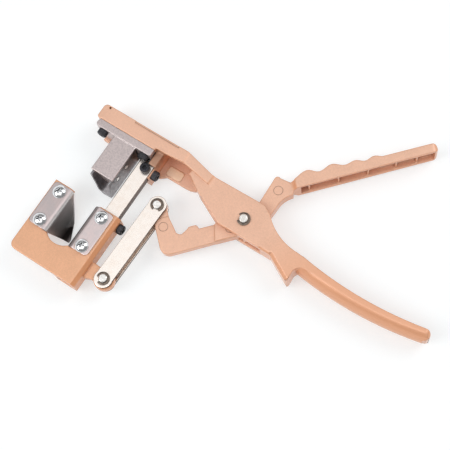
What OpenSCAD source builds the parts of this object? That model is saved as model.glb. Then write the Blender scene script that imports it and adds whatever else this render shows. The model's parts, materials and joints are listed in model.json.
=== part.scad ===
// Hand-held V-cut grafting cutter, lying on its back.
// X runs along the head, Y is the way the anvil slides, Z is the pivot axis.
// Outlines are drawn about the main pivot, in the tool's middle plane.

/* [Placement] */
// Main pivot, X from the middle of the tool
pivot_x = -8.24; // [-10:0.01:-7]
// Main pivot, Y from the middle of the tool
pivot_y = -6.71; // [-8:0.01:-4]

/* [Linkage] */
// Main pivot to upper link pin
crank_r = 61; // [60:0.5:62]
// Direction of the upper link pin from the pivot, tool open
crank_a = 201; // [200:0.5:202]
// Pin to pin length of the links
link_len = 62.5; // [61:0.5:64]
// Width of a link strap
link_w = 13; // [12:0.5:14]
// Thickness of a link strap
link_t = 2; // [1.8:0.1:2.2]
// Diameter of the pivot and link pins
pin_d = 6; // [5.5:0.1:6.2]
// Outer diameter of the retaining clips
clip_d = 9.3; // [9:0.1:10]

/* [Head] */
// Left end of the head
head_left = -129; // [-130:0.5:-127]
// Top edge of the head
head_top = 20.3; // [20:0.1:21]
// Seat under the head for the cutter flange
head_seat = 9; // [8.8:0.1:9.4]
// Half of the head's thickness
head_half = 11; // [11:0.1:11.4]
// Half of the fork's thickness over its cheeks
cheek_half = 8.5; // [8.2:0.1:8.8]
// Half of the gap between the cheeks
fork_half = 4.6; // [4.6:0.1:5]

/* [Cutter] */
// Middle of the blade and of the jaw notch
cut_x = -101; // [-101.5:0.1:-100.5]
// Half width of the block's front plate
plate_half = 9.1; // [8.8:0.1:9.4]
// Thickness of the block's front plate
plate_t = 2.2; // [2:0.1:2.4]
// Thickness of the blade sheet
blade_t = 1.4; // [1.2:0.1:1.6]
// Lower face of the cutter block
block_bottom = -25; // [-26:0.5:-24]
// Lowest point of the blade
blade_tip = -32.3; // [-32.8:0.1:-31.5]
// Place of the blade's ridge right of the notch middle
ridge_x = 2.5; // [2.3:0.1:2.6]

/* [Guide bar] */
// Middle of the guide bar
bar_x = -80.9; // [-81:0.1:-80.8]
// Width of the guide bar
bar_w = 11.8; // [11.6:0.1:11.8]
// Thickness of the guide bar
bar_t = 6.5; // [6:0.1:6.5]

/* [Anvil] */
// Left edge of the anvil plate
anvil_left = -127; // [-128:0.5:-126]
// Top of the anvil arms
anvil_top = -44; // [-45:0.5:-44]
// Bottom edge of the anvil
anvil_bottom = -100; // [-101:0.5:-99]
// Front face of the anvil above the middle plane
anvil_front = 8; // [8:0.1:8.2]
// Thickness of the anvil plate
anvil_plate_t = 4; // [3.5:0.1:4.2]
// Half width of the notch in the plate
notch_half = 10.6; // [10.6:0.1:10.8]
// Thickness of the jaw plates
jaw_t = 1.4; // [1.2:0.1:1.4]

/* [Handles] */
// Half thickness of both handles
grip_half = 8.2; // [8.1:0.1:8.4]
// Wall of the handle channels
grip_wall = 2; // [1.8:0.1:2.4]
// Inner radius of the lower handle's bow
bow_r = 265; // [263:1:267]
// Palm radius of the lower handle's bow
palm_r = 264; // [260:1:268]
// Depth of the lower handle below its inner edge, at its deepest
bow_depth = 9.7; // [9.4:0.1:10]
// Direction of the upper handle
grip_a = 47.1; // [46:0.1:48]

/* [Hidden] */
$fn = 64;
fit = 0.05;
slide_fit = 0.08;
eps = 0.01;

// The tool lies on the back of its head
mid_z = head_half;

// Linkage, derived
pin_r = pin_d / 2;
upper_pin = crank_r * [cos(crank_a), sin(crank_a)];
lug_x = -58.5;
link_dx = upper_pin[0] - lug_x;
link_dy = sqrt(link_len * link_len - link_dx * link_dx);
lower_pin = [lug_x, upper_pin[1] - link_dy];
lug_half = 2.6;
arm_half = 2.9;
link_in = arm_half + 0.3;
link_out = link_in + link_t;
link_pin_half = link_out + 1.9;
pivot_pin_half = cheek_half + 2.5;
clip_t = 0.8;
clip_gap = 0.15;
groove_r = pin_r - 0.5;
hub_half = fork_half - 0.3;
tip_r = 6.3;
tip_slot = 2.4;
tip_hole_r = pin_r + 0.35;
bush_r = pin_r + 1.5;

// Fasteners: four millimetre socket screws and pan screws
screw_r = 2;
cap_r = 3.5;
cap_h = 4;
socket_r = 1.75;
pan_r = 4.9;
pan_h = 2.8;

// Cutter, derived
flange_left = -126.5;
flange_right = -79.7;
flange_bottom = 3.4;
flange_back = -7.2;
flange_screw_x = [-119.6, -84.9];
flange_screw_z = 7;
plate_front = head_half - 0.8;
blade_front = plate_front - plate_t - 0.1;
ridge_z = -9;
blade_rake = 4.2;
blade_over = blade_front + 1;
blade_plan = [[-8.6, blade_over], [-2, -6.5], [ridge_x, ridge_z], [9.5, -8.1], [8.2, blade_over]];
rivet_r = 1.5;
rivet_y = [-9.6, -20];

// Guide bar, derived
bar_top = 15;
bar_bottom = anvil_bottom + 8;
bar_left = bar_x - bar_w / 2;
bar_right = bar_x + bar_w / 2;
bar_half = bar_t / 2;
bar_screw = [-79.6, -4.2];
side_screw_in = 2.2;
boss_bottom = -9;
boss_right = bar_right + 1.3;

// Anvil, derived
anvil_right = -71.8;
anvil_edge = 2.6;
house_back = -6;
house_left = bar_left - 2.6;
notch_bottom = -82;
notch_r = 13.8;
lug_r = 7.2;
gib_y = -49;
gib_pad_t = 1.5;
jaw_top = anvil_top - 1;
jaw_low = -78.5;
jaw_bend = 4;
jaw_front = anvil_front + jaw_t;
jaw_screw_dx = 18;
jaw_screw_y = [-50.6, -73.9];
vee_low = -72.5;
vee_half = [9.6, 8.6];
lip_gap = 0.4;
lip_z = -9.5;
jaw_knee_z = -8.6;
jaw_rake = 4.3;

// Handles, derived
bow_c = [91.5, bow_r - 4.4];
palm_c = [86, palm_r - 4.4 - bow_depth];
bow_end_a = 11.57;
bow_end_r = 3.7;
grip_in = 12.2;
grip_end = 139.24;

// Points on an arc about c, from angle a0 to a1
function arc(c, r, a0, a1, n = 12) =
  [for (i = [0:n]) c + r * [cos(a0 + (a1 - a0) * i / n), sin(a0 + (a1 - a0) * i / n)]];

// Unit vector square to the way from p to q
function side(p, q) = let (d = q - p) [-d[1], d[0]] / norm(d);

// A path moved sideways by d, its corners mitred
function shifted(p, d) = [for (i = [0:len(p) - 1])
  let (n1 = side(p[max(i - 1, 0)], p[max(i, 1)]),
       n2 = side(p[min(i, len(p) - 2)], p[min(i + 1, len(p) - 1)]))
  p[i] + (n1 + n2) * d / (1 + n1 * n2)];

// A path in reverse order
function reversed(p) = [for (i = [len(p) - 1:-1:0]) p[i]];

// Puts the drawing about the pivot into the part's frame
module placed() {
  translate([pivot_x, pivot_y, mid_z]) children();
}

// A plate between two heights above the middle plane
module plate(z0, z1) {
  translate([0, 0, z0]) linear_extrude(height = z1 - z0) children();
}

// A profile drawn in X and Z, run along Y from y0 to y1
module along_y(y0, y1) {
  translate([0, y1, 0]) rotate([90, 0, 0]) linear_extrude(height = y1 - y0) children();
}

// A profile drawn in Y and Z, run along X from x0 to x1
module along_x(x0, x1) {
  translate([x0, 0, 0]) rotate([90, 0, 90]) linear_extrude(height = x1 - x0) children();
}

// Box from its lowest to its highest corner
module block(a, b) {
  translate(a) cube(b - a);
}

// Socket screw, head above the seat, shank below it
module socket_screw(shank) {
  difference() {
    union() {
      cylinder(r = cap_r, h = cap_h - 0.4);
      translate([0, 0, cap_h - 0.4]) cylinder(r1 = cap_r, r2 = cap_r - 0.4, h = 0.4);
      translate([0, 0, -shank]) cylinder(r = screw_r, h = shank + eps);
    }
    translate([0, 0, cap_h - 2]) cylinder(r = socket_r, h = 3, $fn = 6);
  }
}

// Cross-head pan screw, head above the seat
module pan_screw(shank) {
  dome_r = (pan_r * pan_r + pan_h * pan_h) / (2 * pan_h);
  difference() {
    union() {
      intersection() {
        translate([0, 0, pan_h - dome_r]) sphere(r = dome_r);
        cylinder(r = pan_r, h = pan_h + 1);
      }
      translate([0, 0, -shank]) cylinder(r = screw_r, h = shank + eps);
    }
    for (a = [25, 115]) rotate([0, 0, a]) translate([-2.6, -0.5, pan_h - 1.4]) cube([5.2, 1, 3]);
  }
}

// Pin about Z with clip grooves near both ends
module grooved_pin(half, seat) {
  lip = 0.5;
  groove_w = clip_t + 0.2;
  difference() {
    union() {
      cylinder(r = pin_r, h = 2 * (half - lip), center = true);
      for (m = [0, 1]) mirror([0, 0, m]) translate([0, 0, half - lip - eps])
        cylinder(r1 = pin_r, r2 = pin_r - lip, h = lip + eps);
    }
    for (m = [0, 1]) mirror([0, 0, m]) translate([0, 0, seat + clip_gap - 0.1]) difference() {
      cylinder(r = pin_r + 1, h = groove_w);
      cylinder(r = groove_r, h = groove_w);
    }
  }
}

// Open retaining clip lying on a seat, its mouth turned to angle a
module clip(a) {
  rotate([0, 0, a]) translate([0, 0, clip_gap]) linear_extrude(height = clip_t) difference() {
    circle(d = clip_d);
    circle(r = groove_r + fit);
    polygon([[0, 0], [clip_d, clip_d * 0.55], [clip_d, -clip_d * 0.55]]);
  }
}

// Outline of the head and neck, seen along the pivot axis
module head_outline() {
  neck_low = 10.6;
  polygon(concat(
    arc([head_left + 3, head_top - 3], 3, 180, 90, 6),
    [[-58, head_top], [-36, 15.2], [-31, 15.1], [-31, 7.4], [-47.5, 10.4], [-57, 12], [-72, neck_low],
     [-79.4, neck_low], [-79.4, head_seat], [head_left + 2, head_seat]],
    arc([head_left + 1.5, head_seat + 1.5], 1.5, 270, 180, 4)));
}

// Half thickness of the head and neck along X, with two hollow steps down to the cheeks
module head_profile() {
  bend_x = -58;
  step = 0.6;
  step_r = 3;
  step_a = acos(1 - step / step_r);
  step_c = [bend_x + step_r * sin(step_a), head_half - step + step_r];
  foot_x = -31.2;
  foot_r = 6;
  half = concat(
    [[head_left - 1, head_half]],
    arc(step_c, step_r, 270 - step_a, 270, 4),
    arc([foot_x, cheek_half + foot_r], foot_r, 230, 270, 6),
    [[foot_x + 3, cheek_half]]);
  both_halves(half);
}

// Outline of the fork cheeks and the spur
module cheek_outline() {
  spur = [46.1, -19.3];
  polygon(concat(
    [[-50, 8], [-38.7, 0.7]],
    arc([-13.5, -10], 1.4, 240, 270, 4),
    [[18, -11.4], [28.3, -11.6]],
    arc(spur, 1.6, 235, 340, 8),
    arc([53.4, -14], 6.2, 194, 100, 10),
    [[60, -7.6], [60, -2.7], [56, -2.1], [50, -1.2]],
    arc([43.5, 41.3], 42, 270, 224, 12),
    arc([6.5, 13.2], 2.6, 35, 95, 6),
    [[-31, 15.1], [-36, 15.2], [-50, 18]]));
}

// Space between the cheeks for the lever's whole swing
module fork_slot() {
  slot_right = 19.5;
  mouth = 1.5;
  shelf = -0.2;
  polygon([[-75, -60], [slot_right, -60], [slot_right, 0], [slot_right + mouth, 0],
    [slot_right + mouth, 50], [-1.2, 50], [-1.2, 3.7], [-12.5, 3.7], [-18.3, shelf], [-75, shelf]]);
  circle(r = 14.8);
}

// Bevel along both faces of the cheeks, with the cheek on the left of the way from p to q
module edge_bevel(p, q, w) {
  way = q - p;
  translate(p) rotate([0, 0, atan2(way[1], way[0])]) for (m = [0, 1]) mirror([0, 0, m])
    along_x(-1, norm(way) + 1)
      polygon([[-1, cheek_half - w - 1], [w + 1, cheek_half + 1], [-1, cheek_half + 1]]);
}

// Slope from the cheeks down to the lower handle
module handle_blend() {
  for (m = [0, 1]) mirror([0, 0, m]) along_y(-12, 6)
    polygon([[40, cheek_half], [60, grip_half], [70, grip_half], [70, 12], [40, 12]]);
}

// Section of the lower handle, out to the palm radius, with a round palm side
module palm_section() {
  crown = 5.5;
  crown_r = (grip_half * grip_half + crown * crown) / (2 * crown);
  crown_a = asin(min(1, grip_half / crown_r));
  polygon(concat(
    [[palm_r - 60, -grip_half]],
    arc([palm_r - crown_r, 0], crown_r, -crown_a, crown_a, 16),
    [[palm_r - 60, grip_half]]));
}

// Hollow of the lower handle, open towards the upper one
module bow_hollow() {
  half = grip_half - grip_wall;
  deep = bow_depth - grip_wall - 2.6;
  polygon(concat(
    [[bow_r - 1, -half]],
    arc([bow_r + deep - 2, -half + 2], 2, -90, 0, 4),
    arc([bow_r + deep - 2, half - 2], 2, 0, 90, 4),
    [[bow_r - 1, half]]));
}

// Sweep of a section about a centre, between two X places at radius r
module sweep_between(c, r, x0, x1) {
  a0 = 270 + asin((x0 - c[0]) / r);
  a1 = 270 + asin((x1 - c[0]) / r);
  translate([c[0], c[1], 0]) rotate([0, 0, a0]) rotate_extrude(angle = a1 - a0, $fn = 360) children();
}

// Plan of the lower handle with its rounded end
module bow_outline() {
  reach = 110;
  difference() {
    translate(bow_c) rotate([0, 0, bow_end_a]) {
      translate([-reach, -bow_r - 40]) square([reach - bow_end_r, 80]);
      translate([-bow_end_r, -bow_r - bow_end_r]) circle(r = bow_end_r);
    }
    translate(bow_c) circle(r = bow_r, $fn = 720);
  }
}

// Half thickness along a handle, from a start to a rounded end
function rounded_half(start, end, r) = concat(start, arc([end - r, grip_half - r], r, 90, 0, 8));

// A half profile and its mirror image below the middle plane
module both_halves(half) {
  polygon(concat(half, [for (p = reversed(half)) [p[0], -p[1]]]));
}

module lower_handle() {
  difference() {
    intersection() {
      sweep_between(palm_c, palm_r, 46, 152) palm_section();
      plate(-grip_half, grip_half) bow_outline();
      translate([bow_c[0], bow_c[1], 0]) rotate([0, 0, bow_end_a]) along_y(-bow_r - 40, -bow_r + 40)
        both_halves(rounded_half([[-110, grip_half]], 0, 4));
    }
    sweep_between(bow_c, bow_r, 64, 138) bow_hollow();
  }
}

// Pocket under the neck that takes the link's upper end when the tool closes
module link_pocket() {
  wall_z = 7.8;
  ceiling = 18;
  ramp_x = -46;
  along_y(-20, ceiling) polygon([[boss_right, -wall_z], [-57, -wall_z], [ramp_x, -4.6],
    [ramp_x, wall_z - 0.6], [-57, wall_z], [boss_right, wall_z]]);
}

// Wall behind the flange and the pocket, and the socket that holds the guide bar
module head_back() {
  back_in = -7.5;
  back_low = 1.4;
  bridge_y = -0.3;
  plate(-head_half, back_in) polygon([[-122, 1], [-122, head_top - 1], [-46, head_top - 4],
    [-38.5, 8], [-43.5, 3.4], [-47.5, 1.8], [-52, back_low], [-67.2, back_low], [-71.5, -2],
    [bar_left - 1, -2], [bar_left - 1, 1]]);
  block([bar_left - 1, boss_bottom, -head_half], [boss_right, head_seat + 2, -bar_half - slide_fit]);
  block([bar_right + slide_fit, boss_bottom, -head_half], [boss_right, 10.6, bar_half]);
  block([flange_right + 0.4, bridge_y, bar_half + slide_fit], [boss_right, 11, bar_half + 2.6]);
}

module frame_casting() {
  ledge = [[-103, -66], 18.8, 0.6];
  peg_hole = [-124.3, 18.9];
  color([0.93, 0.72, 0.58]) placed() difference() {
    union() {
      intersection() {
        plate(-head_half, head_half) head_outline();
        along_y(0, 30) head_profile();
      }
      head_back();
      difference() {
        plate(-cheek_half, cheek_half) cheek_outline();
        plate(-fork_half, fork_half) fork_slot();
        handle_blend();
        edge_bevel([28.3, -11.6], [45.2, -20.6], 2.2);
        edge_bevel([20.5, -11.4], [28.3, -11.6], 1.2);
      }
      lower_handle();
    }
    link_pocket();
    for (s = [-1, 1]) block([ledge[0][0], ledge[1], s > 0 ? head_half - ledge[2] : -head_half - 1],
      [ledge[0][1], head_top + 1, s > 0 ? head_half + 1 : -head_half + ledge[2]]);
    translate([peg_hole[0], peg_hole[1], head_half - 5]) cylinder(r = 0.8, h = 10);
    block([bar_left - slide_fit, -20, -bar_half - slide_fit],
      [bar_right + slide_fit, bar_top + slide_fit, bar_half + slide_fit]);
    block([cut_x - 8, 0, -head_half - 1], [cut_x + 10, flange_bottom + 1, 0]);
    for (x = flange_screw_x) translate([x, 18, flange_screw_z]) rotate([90, 0, 0])
      cylinder(r = screw_r + fit, h = 14);
    translate([bar_screw[0], bar_screw[1], -9]) cylinder(r = screw_r + fit, h = 10);
    translate([boss_right + 1, bar_screw[1], 0]) rotate([0, -90, 0]) cylinder(r = screw_r + fit, h = 6);
    cylinder(r = pin_r + fit, h = 40, center = true);
  }
}

module cutter_block() {
  core = shifted(blade_plan, blade_t + fit);
  corner = 2.5;
  color([0.75, 0.73, 0.73]) placed() difference() {
    union() {
      plate(flange_back, head_half) polygon(concat(
        arc([flange_left + corner, flange_bottom + corner], corner, 180, 270, 6),
        arc([flange_right - 1, flange_bottom + 1], 1, 270, 360, 4),
        [[flange_right, head_seat], [flange_left + 0.8, head_seat]]));
      translate([cut_x, 0, 0]) {
        along_y(block_bottom + 0.6, flange_bottom + 1) polygon(core);
        block([-plate_half, block_bottom, plate_front - plate_t], [plate_half, flange_bottom + 1, plate_front]);
      }
    }
    for (x = flange_screw_x) translate([x, 18, flange_screw_z]) rotate([90, 0, 0])
      cylinder(r = screw_r + fit, h = 30);
    for (y = rivet_y) translate([cut_x, y, 2]) rotate([0, 90, 0])
      cylinder(r = rivet_r + fit, h = 40, center = true);
    block([bar_left - 1.05, 0, -20], [flange_right + 1, head_seat + 1, bar_half + 0.2]);
  }
}

module v_blade() {
  top = flange_bottom - 0.6;
  color([0.62, 0.62, 0.64]) placed() difference() {
    translate([cut_x, 0, 0]) difference() {
      along_y(blade_tip, top) polygon(concat(blade_plan, reversed(shifted(blade_plan, blade_t))));
      along_x(-20, 20) polygon([[blade_tip - 2, -12], [blade_tip, ridge_z],
        [blade_tip + blade_rake, blade_front], [blade_tip + blade_rake, 20], [blade_tip - 2, 20]]);
      block([-20, blade_tip - 1, blade_front], [20, top + 1, 20]);
    }
    for (y = rivet_y) translate([cut_x, y, 2]) rotate([0, 90, 0])
      cylinder(r = rivet_r + fit, h = 40, center = true);
  }
}

module blade_rivets() {
  reach = [-6.1, 8.8];
  color([0.8, 0.8, 0.8]) placed() for (y = rivet_y) translate([cut_x + reach[0], y, 2]) rotate([0, 90, 0])
    cylinder(r = rivet_r, h = reach[1] - reach[0]);
}

module flange_screws() {
  color([0.08, 0.08, 0.09]) placed() for (x = flange_screw_x)
    translate([x, flange_bottom, flange_screw_z]) rotate([90, 0, 0]) socket_screw(13);
}

module guide_bar() {
  edge = 0.5;
  color([0.95, 0.92, 0.88]) placed() difference() {
    along_y(bar_bottom, bar_top) polygon([
      [bar_left, -bar_half + edge], [bar_left + edge, -bar_half], [bar_right - edge, -bar_half],
      [bar_right, -bar_half + edge], [bar_right, bar_half - edge], [bar_right - edge, bar_half],
      [bar_left + edge, bar_half], [bar_left, bar_half - edge]]);
    translate([bar_screw[0], bar_screw[1], 0]) cylinder(r = screw_r + fit, h = 20, center = true);
    translate([bar_right + 1, bar_screw[1], 0]) rotate([0, -90, 0])
      cylinder(r = screw_r + fit, h = side_screw_in + 1.1);
  }
}

module bar_front_screw() {
  color([0.08, 0.08, 0.09]) placed()
    translate([bar_screw[0], bar_screw[1], bar_half]) socket_screw(bar_t + 5);
}

module bar_side_screw() {
  color([0.08, 0.08, 0.09]) placed() translate([boss_right, bar_screw[1], 0]) rotate([0, 90, 0])
    socket_screw(boss_right - bar_right + side_screw_in);
}

module pivot_pin() {
  color([0.85, 0.84, 0.82]) placed() grooved_pin(pivot_pin_half, cheek_half);
}

module pivot_clips() {
  color([0.25, 0.2, 0.18]) placed() for (m = [0, 1]) mirror([0, 0, m])
    translate([0, 0, cheek_half]) clip(195);
}

// J-shaped arm of the lever, seen along the pivot axis
module lever_arm() {
  heel = [-34.5, -41];
  heel_r = 6.4;
  bay = [-34.4, -26.8];
  bay_r = 4.2;
  polygon(concat(
    [[-46.4, -24.1]],
    arc(bay, bay_r, 218, 312, 8),
    [[-30.4, -25.2], [-30.4, -23.2], [-29.2, -21.6], [-26.9, -19.3], [-25.3, -19.5], [-23.6, -20.2],
     [-12, -8], [0, 6], [12, 0], [3.6, -8.8]],
    arc(heel, heel_r, 317.5, 222, 10),
    [[-51.6, -33.8], [-51.6, -29.8]]));
}

// Hub of the lever and the arm up to the handle
module lever_hub() {
  shoulder = [3.2, 36.8];
  polygon(concat(
    [[-16.2, -12.4], [-9.2, -22.4], [3.6, -8.8]],
    arc([0, 0], 12.8, 300, 340, 6),
    [[12.8, 10], [13.2, 20]],
    arc([30.4, 21.5], 17.2, 180, 137, 8),
    [[15, 40]],
    arc(shoulder, 2.4, 60, 180, 6),
    [[1.4, 16]],
    arc([0, 0], 13.5, 92, 200, 12)));
}

// Finger ridges along the handle: place along it, height over its inner edge
ridge_s = [37, 49.8, 57.8, 67, 75.8, 83, 89.5, 96, 103];
ridge_h = [6.2, 10.7, 7.5, 10.4, 7.4, 8.8, 6.6, 8.4, 6.4];

// Height of the outer edge between two ridge points, as a half wave
function grip_height(i, t) =
  ridge_h[i] + (ridge_h[i + 1] - ridge_h[i]) * (1 - cos(180 * t)) / 2;

// Outer edge of the upper handle, along its own axis, drawn in by a given amount
function grip_edge(inset) = [for (i = [0:len(ridge_s) - 2]) for (t = [0:0.2:0.99])
  [ridge_s[i] + (ridge_s[i + 1] - ridge_s[i]) * t, grip_in + grip_height(i, t) - inset]];

// Outline of the upper handle along its own axis
module grip_outline(inset) {
  end_r = 3;
  end_h = grip_in + ridge_h[len(ridge_h) - 1];
  polygon(concat(
    [[31, grip_in + 1], [31, grip_in + 6.2 - inset]],
    grip_edge(inset),
    arc([grip_end - end_r, end_h - end_r], end_r - inset, 90, 0, 8),
    arc([grip_end - end_r, grip_in + end_r], end_r - inset, 0, -90, 8),
    [[36, grip_in + inset]]));
}

// Half thickness of the upper handle along its axis, with a hollow up from the hub
module grip_profile() {
  root_s = 35.4;
  root_r = 4.6;
  both_halves(rounded_half(concat([[30, hub_half]], arc([root_s, hub_half + root_r], root_r, 270, 340, 8),
    [[root_s + root_r + 1, grip_half]]), grip_end, 4));
}

module upper_handle() {
  rib_s = [48.8, 69.5, 90.4, 110.1, 124.6];
  channel_s = [43, grip_end - 2.6];
  channel = grip_half - grip_wall;
  rotate([0, 0, grip_a]) difference() {
    intersection() {
      plate(-grip_half, grip_half) grip_outline(0);
      along_y(grip_in - 5, grip_in + 20) grip_profile();
    }
    difference() {
      plate(-channel, channel) intersection() {
        union() {
          grip_outline(grip_wall + 0.5);
          translate([channel_s[0], grip_in - 1]) square([channel_s[1] - channel_s[0], 4.4]);
        }
        translate([channel_s[0], grip_in - 1]) square([channel_s[1] - channel_s[0], 20]);
      }
      for (s = rib_s) block([s - 0.7, grip_in + 1.5, -channel - 1], [s + 0.7, grip_in + 20, channel + 1]);
    }
  }
}

module lever_casting() {
  color([0.94, 0.74, 0.6]) placed() difference() {
    union() {
      plate(-arm_half, arm_half) lever_arm();
      plate(-hub_half, hub_half) lever_hub();
      plate(-lug_half, lug_half) {
        translate(upper_pin) circle(r = tip_r);
        polygon([upper_pin + [-3.2, -4.7], upper_pin + [4.4, 3.5], [-44, -26.4], [-49, -32.4]]);
      }
      upper_handle();
    }
    plate(-20, 20) {
      translate(upper_pin) circle(r = tip_hole_r);
      translate(upper_pin * (1 - tip_slot / crank_r)) circle(r = tip_hole_r);
      rotate([0, 0, crank_a]) translate([crank_r - tip_slot, 0.15 - tip_hole_r])
        square([tip_slot, 2 * tip_hole_r - 0.3]);
    }
    cylinder(r = bush_r + fit, h = 40, center = true);
  }
}

module pivot_bush() {
  color([0.72, 0.5, 0.25]) placed() difference() {
    cylinder(r = bush_r, h = 2 * hub_half, center = true);
    cylinder(r = pin_r + fit, h = 20, center = true);
  }
}

// Outline of the anvil plate with its notch
module anvil_outline() {
  corner = 4.5;
  difference() {
    polygon(concat(
      [[anvil_left, anvil_top]],
      arc([anvil_left + corner, anvil_bottom + corner], corner, 180, 270, 8),
      [[anvil_right, anvil_bottom], [anvil_right, anvil_top]]));
    translate([cut_x, 0]) {
      translate([-notch_half, -77.8]) square([2 * notch_half, 60]);
      intersection() {
        translate([0, notch_bottom + notch_r]) circle(r = notch_r);
        translate([-notch_half, -90]) square([2 * notch_half, 14]);
      }
    }
  }
}

// Section of the housing that slides on the guide bar
module house_section() {
  polygon([[house_left, house_back], [anvil_right - 1.5, house_back], [anvil_right, house_back + 1.5],
    [anvil_right, anvil_front - anvil_edge], [anvil_right - anvil_edge, anvil_front],
    [house_left, anvil_front]]);
}

// Chamfers the notch edges to sit in the bends of the jaw plates
module notch_chamfer() {
  bend_x = 12.9;
  bend_z = jaw_front - jaw_bend;
  for (m = [0, 1]) translate([cut_x, 0, 0]) mirror([m, 0, 0]) along_y(jaw_low - 0.1, anvil_top + 1)
    polygon([[-bend_x, anvil_front], [-bend_x, anvil_front + 1], [0, anvil_front + 1], [0, bend_z],
      [-notch_half, bend_z]]);
}

module anvil_bracket() {
  color([0.9, 0.66, 0.48]) placed() difference() {
    union() {
      difference() {
        plate(anvil_front - anvil_plate_t, anvil_front) anvil_outline();
        block([anvil_right - anvil_edge, -120, 0], [anvil_right + 5, 0, 20]);
      }
      along_y(anvil_bottom, anvil_top) house_section();
      plate(-lug_half, lug_half) {
        translate(lower_pin) circle(r = lug_r);
        polygon([[anvil_right - 1, -78], lower_pin + [0, 5.6], lower_pin + [0, -4.6], [-67, -88.6],
          [anvil_right - 1, -91]]);
      }
    }
    block([bar_left - slide_fit, -120, -bar_half - slide_fit],
      [bar_right + slide_fit, 0, bar_half + slide_fit]);
    notch_chamfer();
    translate([lower_pin[0], lower_pin[1], 0]) cylinder(r = pin_r + fit, h = 40, center = true);
    translate([anvil_right + 1, gib_y, 0]) rotate([0, -90, 0]) cylinder(r = screw_r + fit, h = 8);
    for (s = [-1, 1]) for (y = jaw_screw_y) translate([cut_x + s * jaw_screw_dx, y, 0])
      cylinder(r = screw_r + fit, h = 20);
  }
}

// Visible face of a jaw plate about the notch's middle: flange, bend, wing at angle a, lip
function jaw_path(a, lip_x) =
  let (bend_c = [-12.9, jaw_front - jaw_bend], start = bend_c + jaw_bend * [cos(a), sin(a)],
       knee = [start[0] + (start[1] - jaw_knee_z) * tan(a), jaw_knee_z])
  concat([[-25, jaw_front]], arc(bend_c, jaw_bend, 90, a, 10), [knee, [lip_x, lip_z]]);

// Rounded outline of the left jaw plate, seen along the pivot axis
module jaw_outline() {
  corner = 3;
  polygon(concat(
    arc([-25 + corner, jaw_top - corner], corner, 180, 90, 5),
    [[-14, jaw_top]],
    arc([-11.5, jaw_top - 4], 4, 90, 20, 5),
    [[3, jaw_top - 8], [3, jaw_low], [-16, jaw_low]],
    arc([-25 + corner, jaw_low + corner], corner, 270, 180, 5)));
}

// Left-hand jaw plate about the notch's middle, its wing cut to a V from lip_x to half its width
module jaw_plate(a, lip_x, half) {
  face = jaw_path(a, lip_x);
  rise = 5;
  slope = (lip_x + half) / (jaw_top - vee_low);
  difference() {
    intersection() {
      along_y(jaw_low, jaw_top) polygon(concat(face, reversed(shifted(face, -jaw_t))));
      plate(-20, 20) jaw_outline();
    }
    plate(-20, jaw_front - jaw_bend + 2) polygon([[lip_x, vee_low], [lip_x + 1, vee_low],
      [lip_x + 1, jaw_top + rise], [-half - slope * rise, jaw_top + rise]]);
    along_x(-11, 5) polygon([[jaw_low - 1, jaw_front - jaw_bend], [jaw_low, jaw_front - jaw_bend],
      [jaw_low + jaw_rake, lip_z - 2], [jaw_low - 1, lip_z - 2]]);
    for (y = jaw_screw_y) translate([-jaw_screw_dx, y, 0]) cylinder(r = screw_r + fit, h = 30);
  }
}

module left_jaw_plate() {
  color([0.78, 0.75, 0.75]) placed() translate([cut_x, 0, 0]) jaw_plate(25, ridge_x - lip_gap, vee_half[0]);
}

module right_jaw_plate() {
  color([0.78, 0.75, 0.75]) placed() translate([cut_x, 0, 0]) mirror([1, 0, 0])
    jaw_plate(-5, -ridge_x - lip_gap, vee_half[1]);
}

module jaw_screws() {
  color([0.86, 0.86, 0.85]) placed() for (s = [-1, 1]) for (y = jaw_screw_y)
    translate([cut_x + s * jaw_screw_dx, y, jaw_front]) pan_screw(s < 0 ? 5 : 4);
}

module gib_screw() {
  color([0.08, 0.08, 0.09]) placed() translate([anvil_right, gib_y, 0]) rotate([0, 90, 0])
    socket_screw(anvil_right - bar_right - slide_fit - gib_pad_t);
}

module gib_pad() {
  color([0.75, 0.6, 0.3]) placed() translate([bar_right + slide_fit, gib_y, 0]) rotate([0, 90, 0])
    cylinder(r = screw_r, h = gib_pad_t);
}

// Strap from the lower to the upper link pin
module link_outline() {
  waist = link_w - 0.5;
  lean = atan2(upper_pin[0] - lower_pin[0], upper_pin[1] - lower_pin[1]);
  difference() {
    union() {
      translate(lower_pin) circle(d = link_w);
      translate(upper_pin) circle(d = link_w);
      translate(lower_pin) rotate([0, 0, -lean]) translate([-waist / 2, 0]) square([waist, link_len]);
    }
    for (p = [lower_pin, upper_pin]) translate(p) circle(r = pin_r + 0.02);
  }
}

module front_link() {
  color([0.95, 0.92, 0.88]) placed() plate(link_in, link_out) link_outline();
}

module rear_link() {
  color([0.95, 0.92, 0.88]) placed() plate(-link_out, -link_in) link_outline();
}

module upper_link_pin() {
  color([0.85, 0.84, 0.82]) placed() translate(upper_pin) grooved_pin(link_pin_half, link_out);
}

module lower_link_pin() {
  color([0.85, 0.84, 0.82]) placed() translate(lower_pin) grooved_pin(link_pin_half, link_out);
}

module link_clips() {
  mouths = [[upper_pin, -75], [lower_pin, -140]];
  color([0.25, 0.2, 0.18]) placed() for (c = mouths) for (m = [0, 1]) mirror([0, 0, m])
    translate([c[0][0], c[0][1], link_out]) clip(c[1]);
}

frame_casting();
cutter_block();
v_blade();
blade_rivets();
flange_screws();
guide_bar();
bar_front_screw();
bar_side_screw();
pivot_pin();
pivot_clips();
lever_casting();
pivot_bush();
anvil_bracket();
left_jaw_plate();
right_jaw_plate();
jaw_screws();
gib_screw();
gib_pad();
front_link();
rear_link();
upper_link_pin();
lower_link_pin();
link_clips();
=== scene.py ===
import json
import math

import bmesh
import bpy
from bpy.props import FloatProperty, FloatVectorProperty, IntProperty, PointerProperty
from mathutils import Matrix, Vector

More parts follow.
